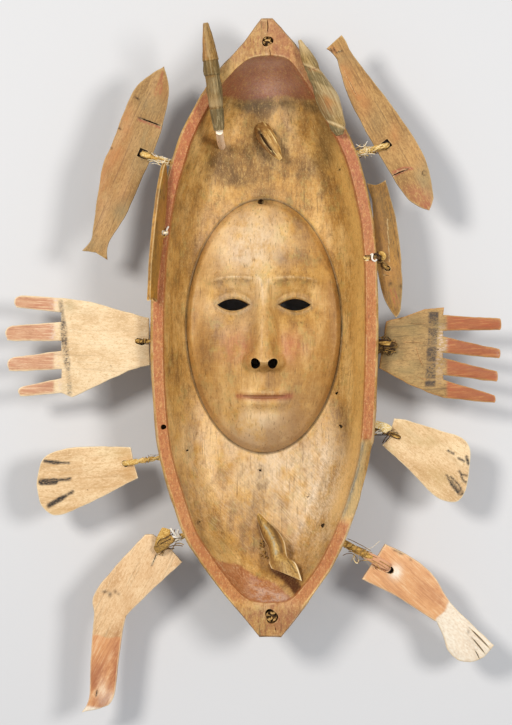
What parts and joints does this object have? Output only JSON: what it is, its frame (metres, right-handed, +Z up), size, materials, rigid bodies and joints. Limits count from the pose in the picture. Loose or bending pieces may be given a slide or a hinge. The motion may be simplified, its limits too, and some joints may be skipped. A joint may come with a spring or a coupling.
{
  "type": "wooden dance mask",
  "caption": "Pointed boat-shaped wooden mask with a face carved in its bowl, hung round with carved fish, hands, flippers and legs on short lashings.",
  "frame": {"origin": "middle of the footprint, on the surface that the mask lies on", "axes": "+Z up out of the face, +Y towards the top of the mask, +X to the viewer's right"},
  "size_m": [0.4308, 0.6002, 0.1026],
  "materials": {
    "bowl_wood": "oiled and worn, red paint on the rim and the top hollow",
    "fish_wood": "dry, golden tan, knife marks",
    "pale_wood": "dry, pale, with worn salmon and black paint",
    "hand_wood": "weathered tan, terracotta paint on the fingers",
    "leg_wood": "dry, salmon and red-brown paint, worn",
    "banded_wood": "grey-brown painted bands over tan wood",
    "peg_wood": "bare, yellow-brown, split",
    "fibre": "twisted dry fibre"
  },
  "bodies": {
    "root": {"mask_body": "bowl_wood", "left_large_fish": "fish_wood", "right_large_fish": "fish_wood", "left_small_fish": "fish_wood", "right_small_fish": "fish_wood", "left_hand": "pale_wood", "right_hand": "hand_wood", "left_flipper": "pale_wood", "right_flipper": "pale_wood", "left_leg": "leg_wood", "right_leg": "leg_wood", "top_left_stick": "banded_wood", "top_right_lobe": "banded_wood", "top_left_peg": "peg_wood", "centre_peg": "peg_wood", "lower_carving": "peg_wood", "top_plug": "peg_wood", "bottom_plug": "peg_wood", "left_large_fish_lashing": "fibre", "right_large_fish_lashing": "fibre", "left_small_fish_lashing": "fibre", "right_small_fish_lashing": "fibre", "left_hand_lashing": "fibre", "right_hand_lashing": "fibre", "left_flipper_lashing": "fibre", "right_flipper_lashing": "fibre", "left_leg_lashing": "fibre", "right_leg_lashing": "fibre"}
  },
  "joints": []
}
